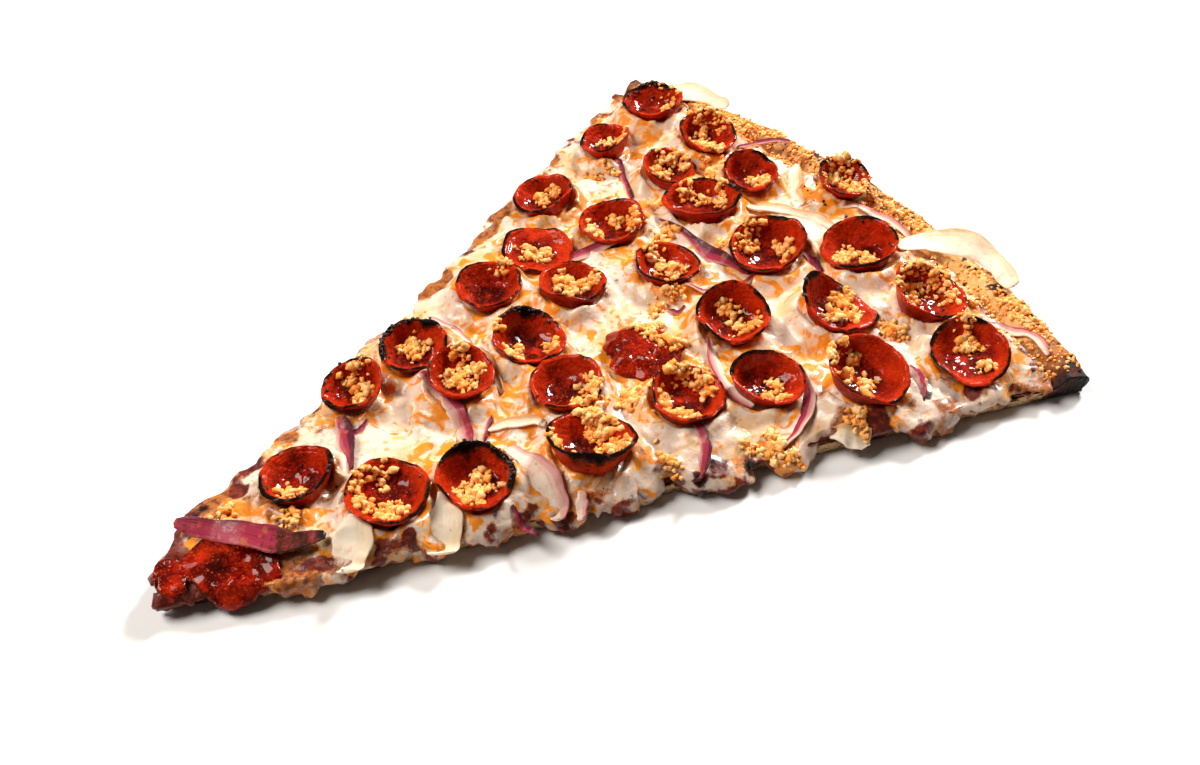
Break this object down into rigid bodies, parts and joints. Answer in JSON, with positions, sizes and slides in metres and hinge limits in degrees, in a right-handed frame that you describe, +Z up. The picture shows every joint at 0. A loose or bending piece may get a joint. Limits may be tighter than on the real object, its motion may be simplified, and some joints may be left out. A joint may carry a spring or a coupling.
{
  "type": "pepperoni pizza slice",
  "caption": "Thin-crust pizza slice, a narrow wedge with melted cheese, cupped pepperoni, strips of red and white onion and roasted minced garlic.",
  "frame": {"origin": "centre of the bounding box at the underside of the dough", "axes": "+X from the tip to the rim, +Y to the far cut edge, +Z up out of the toppings"},
  "size_m": [0.3008, 0.2288, 0.022],
  "materials": {
    "crust": "baked dough, matt",
    "sauce": "moist tomato sauce",
    "cheese": "melted cheese, oily gloss",
    "pepperoni": "oily cured sausage with charred rims",
    "red_onion": "moist cooked onion",
    "white_onion": "moist translucent cooked onion"
  },
  "bodies": {
    "root": {"crust": "crust", "sauce": "sauce", "cheese": "cheese", "pepperoni_01": "pepperoni", "pepperoni_02": "pepperoni", "pepperoni_03": "pepperoni", "pepperoni_04": "pepperoni", "pepperoni_05": "pepperoni", "pepperoni_06": "pepperoni", "pepperoni_07": "pepperoni", "pepperoni_08": "pepperoni", "pepperoni_09": "pepperoni", "pepperoni_10": "pepperoni", "pepperoni_11": "pepperoni", "pepperoni_12": "pepperoni", "pepperoni_13": "pepperoni", "pepperoni_14": "pepperoni", "pepperoni_15": "pepperoni", "pepperoni_16": "pepperoni", "pepperoni_17": "pepperoni", "pepperoni_18": "pepperoni", "pepperoni_19": "pepperoni", "pepperoni_20": "pepperoni", "pepperoni_21": "pepperoni", "pepperoni_22": "pepperoni", "pepperoni_23": "pepperoni", "pepperoni_24": "pepperoni", "pepperoni_25": "pepperoni", "pepperoni_26": "pepperoni", "pepperoni_27": "pepperoni", "pepperoni_28": "pepperoni", "pepperoni_29": "pepperoni", "pepperoni_30": "pepperoni", "pepperoni_31": "pepperoni", "pepperoni_32": "pepperoni", "pepperoni_tip": "pepperoni", "pepperoni_tip_end": "pepperoni", "onion_behind_cup": "red_onion", "onion_corner": "red_onion", "onion_cup_cradle": "red_onion", "onion_dangling": "red_onion", "onion_drape_slim": "red_onion", "onion_drape_wide": "red_onion", "onion_far_brown": "red_onion", "onion_far_curl": "red_onion", "onion_far_short": "red_onion", "onion_left_band": "red_onion", "onion_left_short": "red_onion", "onion_middle_long": "red_onion", "onion_near_arc": "red_onion", "onion_near_petal": "red_onion", "onion_rim_left": "red_onion", "onion_rim_ring": "red_onion", "onion_tip_wedge": "red_onion", "onion_white_corner": "white_onion", "onion_white_drape": "white_onion", "onion_white_petal": "white_onion", "onion_white_rim": "white_onion", "onion_white_ring": "white_onion", "onion_white_strand": "white_onion"}
  },
  "joints": []
}
